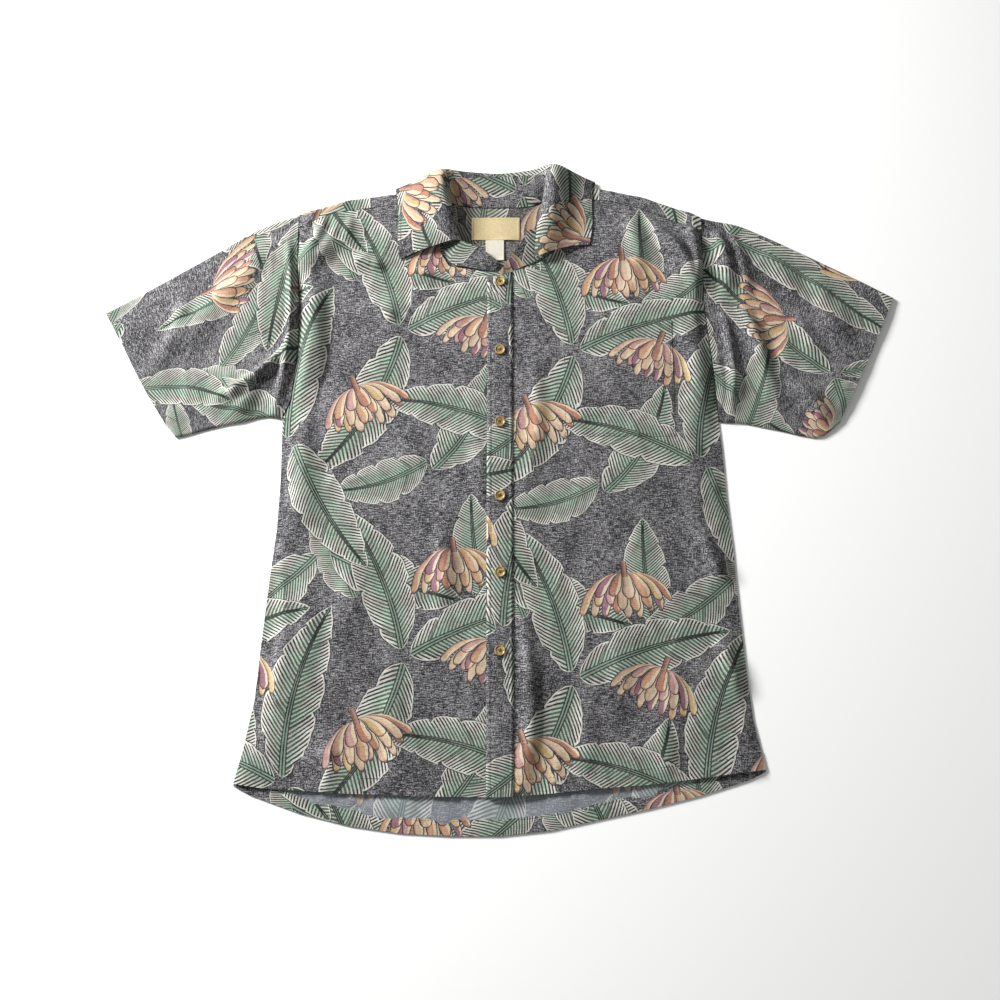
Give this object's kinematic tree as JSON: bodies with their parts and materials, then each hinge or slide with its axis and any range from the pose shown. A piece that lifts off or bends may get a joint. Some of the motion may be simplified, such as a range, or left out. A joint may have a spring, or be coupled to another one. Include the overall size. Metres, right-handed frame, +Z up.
{
  "type": "hawaiian shirt",
  "caption": "Short-sleeved buttoned aloha shirt laid flat on its back, with an open collar, box placket, chest pocket and a dark banana-leaf print.",
  "frame": {"origin": "middle of the box on the plane that the shirt lies on", "axes": "+Z up from the surface, +Y from hem to collar, +X towards the wearer's left sleeve"},
  "size_m": [0.986, 0.8286, 0.0284],
  "materials": {
    "printed_cotton": "matt cotton poplin, charcoal slub ground with sage leaves and peach fruit, slightly rumpled",
    "button": "polished coconut shell, golden brown",
    "label": "woven cream satin, bare"
  },
  "bodies": {
    "root": {"back": "printed_cotton", "yoke": "printed_cotton", "front_right": "printed_cotton", "front_left": "printed_cotton", "placket": "printed_cotton", "pocket": "printed_cotton", "sleeve_right": "printed_cotton", "sleeve_left": "printed_cotton", "collar_stand": "printed_cotton", "collar_leaf": "printed_cotton", "back_hem": "printed_cotton", "button_1": "button", "button_2": "button", "button_3": "button", "button_4": "button", "button_5": "button", "button_6": "button", "neck_label": "label", "size_label": "label"}
  },
  "joints": []
}
